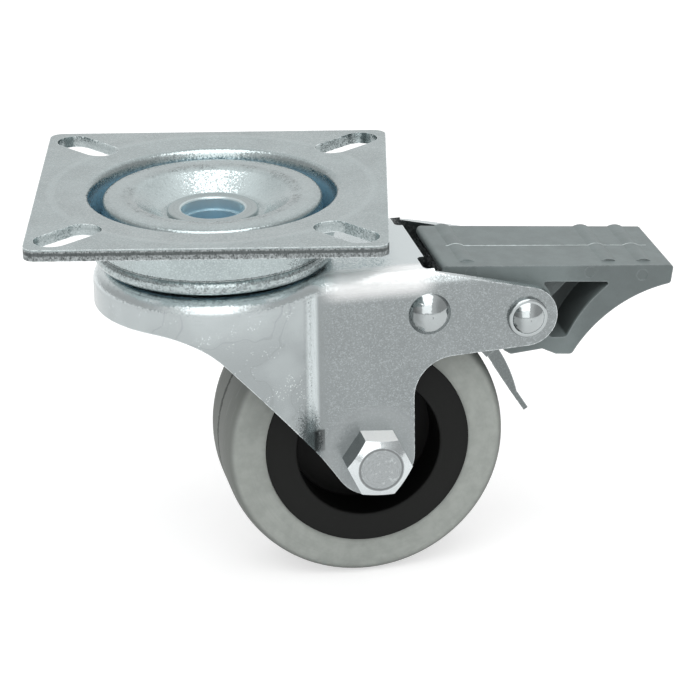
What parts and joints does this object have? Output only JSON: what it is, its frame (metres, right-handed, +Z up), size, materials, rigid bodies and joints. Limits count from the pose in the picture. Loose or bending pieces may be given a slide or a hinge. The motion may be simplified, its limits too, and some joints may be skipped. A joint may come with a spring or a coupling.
{
  "type": "swivel castor with brake",
  "caption": "Swivel castor with a square slotted top plate, a ball-bearing swivel, a pressed fork, a rubber-tyred wheel and a foot brake pedal.",
  "frame": {"origin": "middle of the plate's top face, on the swivel axis", "axes": "+Z up, out of the plate's top face; X and Y along the plate's sides"},
  "size_m": [0.11, 0.06, 0.0717],
  "materials": {
    "plate_zinc": "bright zinc plating",
    "kingpin_zinc": "bright zinc plating",
    "bearing_steel": "polished",
    "fork_zinc": "bright zinc plating",
    "bolt_zinc": "bright zinc plating",
    "rivet_zinc": "bright zinc plating, smooth",
    "hub_plastic": "satin black",
    "tread_rubber": "matt grey",
    "pedal_plastic": "satin grey",
    "blade_zinc": "zinc plating"
  },
  "bodies": {
    "plate": {"top_plate": "plate_zinc", "kingpin_rivet": "kingpin_zinc", "lower_ball_cup": "bearing_steel"},
    "fork": {"fork": "fork_zinc", "axle_bolt": "bolt_zinc", "axle_nut": "bolt_zinc", "axle_sleeve": "bolt_zinc", "front_rivet": "rivet_zinc", "rear_rivet": "rivet_zinc", "upper_ball_01": "bearing_steel", "upper_ball_02": "bearing_steel", "upper_ball_03": "bearing_steel", "upper_ball_04": "bearing_steel", "upper_ball_05": "bearing_steel", "upper_ball_06": "bearing_steel", "upper_ball_07": "bearing_steel", "upper_ball_08": "bearing_steel", "upper_ball_09": "bearing_steel", "upper_ball_10": "bearing_steel", "upper_ball_11": "bearing_steel", "upper_ball_12": "bearing_steel", "upper_ball_13": "bearing_steel", "upper_ball_14": "bearing_steel", "upper_ball_15": "bearing_steel", "upper_ball_16": "bearing_steel", "upper_ball_17": "bearing_steel", "lower_ball_01": "bearing_steel", "lower_ball_02": "bearing_steel", "lower_ball_03": "bearing_steel", "lower_ball_04": "bearing_steel", "lower_ball_05": "bearing_steel", "lower_ball_06": "bearing_steel", "lower_ball_07": "bearing_steel", "lower_ball_08": "bearing_steel", "lower_ball_09": "bearing_steel", "lower_ball_10": "bearing_steel", "lower_ball_11": "bearing_steel", "lower_ball_12": "bearing_steel", "lower_ball_13": "bearing_steel"},
    "wheel": {"wheel_hub": "hub_plastic", "tyre": "tread_rubber"},
    "pedal": {"brake_pedal": "pedal_plastic"},
    "blade": {"brake_blade": "blade_zinc"}
  },
  "joints": [
    {"name": "swivel", "type": "hinge", "parent": "plate", "child": "fork", "pos_m": [0, 0, -0.01], "axis": [0, 0, 1], "continuous": true},
    {"name": "wheel_spin", "type": "hinge", "parent": "fork", "child": "wheel", "pos_m": [0.02416, 0.00514, -0.04675], "axis": [-0.2079, 0.9781, 0], "continuous": true},
    {"name": "pedal_tilt", "type": "hinge", "parent": "fork", "child": "pedal", "pos_m": [0.05087, 0.01081, -0.02314], "axis": [-0.2079, 0.9781, 0], "range_deg": [0, 18]},
    {"name": "blade_tilt", "type": "hinge", "parent": "fork", "child": "blade", "pos_m": [0.03393, 0.00721, -0.021], "axis": [-0.2079, 0.9781, 0], "range_deg": [0, 2.8]}
  ],
  "couplings": [
    {"joint": "blade_tilt", "follows": "pedal_tilt", "ratio": 0.1555}
  ]
}
